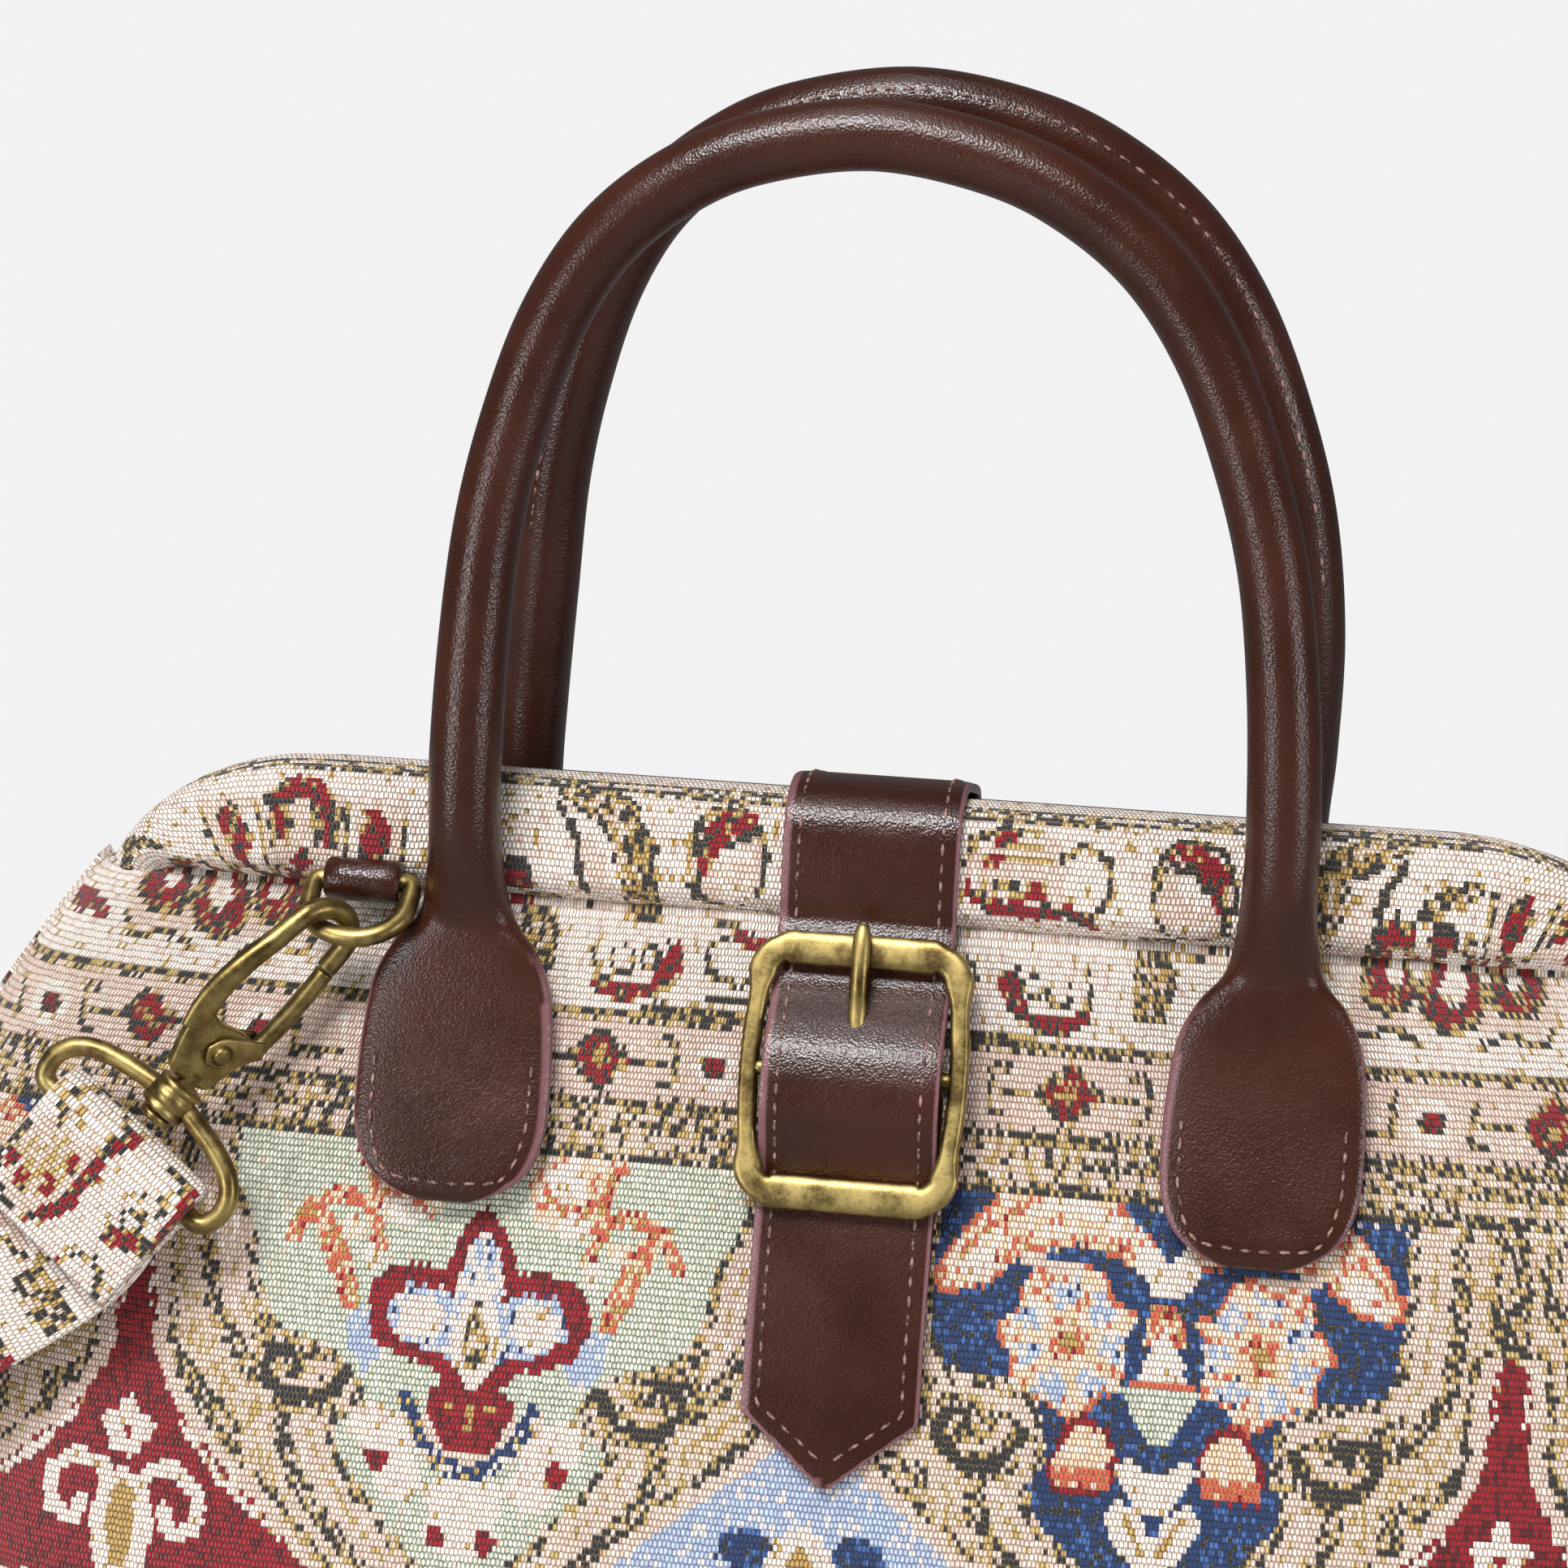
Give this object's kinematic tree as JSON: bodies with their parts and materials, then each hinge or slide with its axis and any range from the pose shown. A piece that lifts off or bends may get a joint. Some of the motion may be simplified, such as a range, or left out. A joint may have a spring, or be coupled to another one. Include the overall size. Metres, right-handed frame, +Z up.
{
  "type": "carpet bag",
  "caption": "Tapestry carpet bag with a hinged mouth frame, rolled leather handles, a buckled closure strap and a clip-on shoulder strap.",
  "frame": {"origin": "on the floor under the middle of the bag", "axes": "+X to the right seen from the buckled front, front towards -Y, +Z up"},
  "size_m": [0.4737, 0.2545, 0.4157],
  "materials": {
    "tapestry": "woven pile, patterned",
    "leather": "pebbled, semi-gloss",
    "brass": "antique",
    "steel": "plain",
    "board": "matte",
    "lining": "plain cotton"
  },
  "bodies": {
    "bag": {"front_panel": "tapestry", "back_panel": "tapestry", "left_gusset": "tapestry", "right_gusset": "tapestry", "base_panel": "tapestry", "base_board": "board", "base_feet": "brass", "lining": "lining", "front_frame": "steel", "back_frame": "steel", "hinge_rivets": "steel", "front_casing": "tapestry", "back_casing": "tapestry", "front_handle": "leather", "back_handle": "leather", "closure_strap": "leather", "buckle_frame": "brass", "buckle_prong": "brass", "buckle_tab": "leather", "front_ring_tab": "leather", "rear_ring_tab": "leather", "front_bail": "brass", "rear_bail": "brass", "shoulder_strap": "tapestry"},
    "front_ring_body": {"front_ring": "brass"},
    "rear_ring_body": {"rear_ring": "brass"},
    "front_hook_body": {"front_hook": "brass"},
    "rear_hook_body": {"rear_hook": "brass"},
    "front_gate_body": {"front_gate": "brass"},
    "rear_gate_body": {"rear_gate": "brass"}
  },
  "joints": [
    {"name": "front_ring_swing", "type": "hinge", "parent": "bag", "child": "front_ring_body", "pos_m": [-0.111, -0.02755, 0.238], "axis": [1, 0, 0], "range_deg": [0, 4]},
    {"name": "front_hook_swivel", "type": "hinge", "parent": "bag", "child": "front_hook_body", "pos_m": [-0.14742, -0.05254, 0.19315], "axis": [0.6209, 0.2588, 0.7399], "range_deg": [-5, 5]},
    {"name": "front_gate", "type": "hinge", "parent": "front_hook_body", "child": "front_gate_body", "pos_m": [-0.13848, -0.04881, 0.2038], "axis": [0.6441, -0.7064, -0.2934], "range_deg": [0, 18], "stiffness_Nm_per_rad": 0.02, "springref_deg": -11.46},
    {"name": "rear_ring_swing", "type": "hinge", "parent": "bag", "child": "rear_ring_body", "pos_m": [0.111, 0.02755, 0.238], "axis": [-1, 0, 0], "range_deg": [0, 4]},
    {"name": "rear_hook_swivel", "type": "hinge", "parent": "bag", "child": "rear_hook_body", "pos_m": [0.14742, 0.05254, 0.19315], "axis": [-0.6209, -0.2588, 0.7399], "range_deg": [-5, 5]},
    {"name": "rear_gate", "type": "hinge", "parent": "rear_hook_body", "child": "rear_gate_body", "pos_m": [0.13848, 0.04881, 0.2038], "axis": [-0.6441, 0.7064, -0.2934], "range_deg": [0, 18], "stiffness_Nm_per_rad": 0.02, "springref_deg": -11.46}
  ]
}
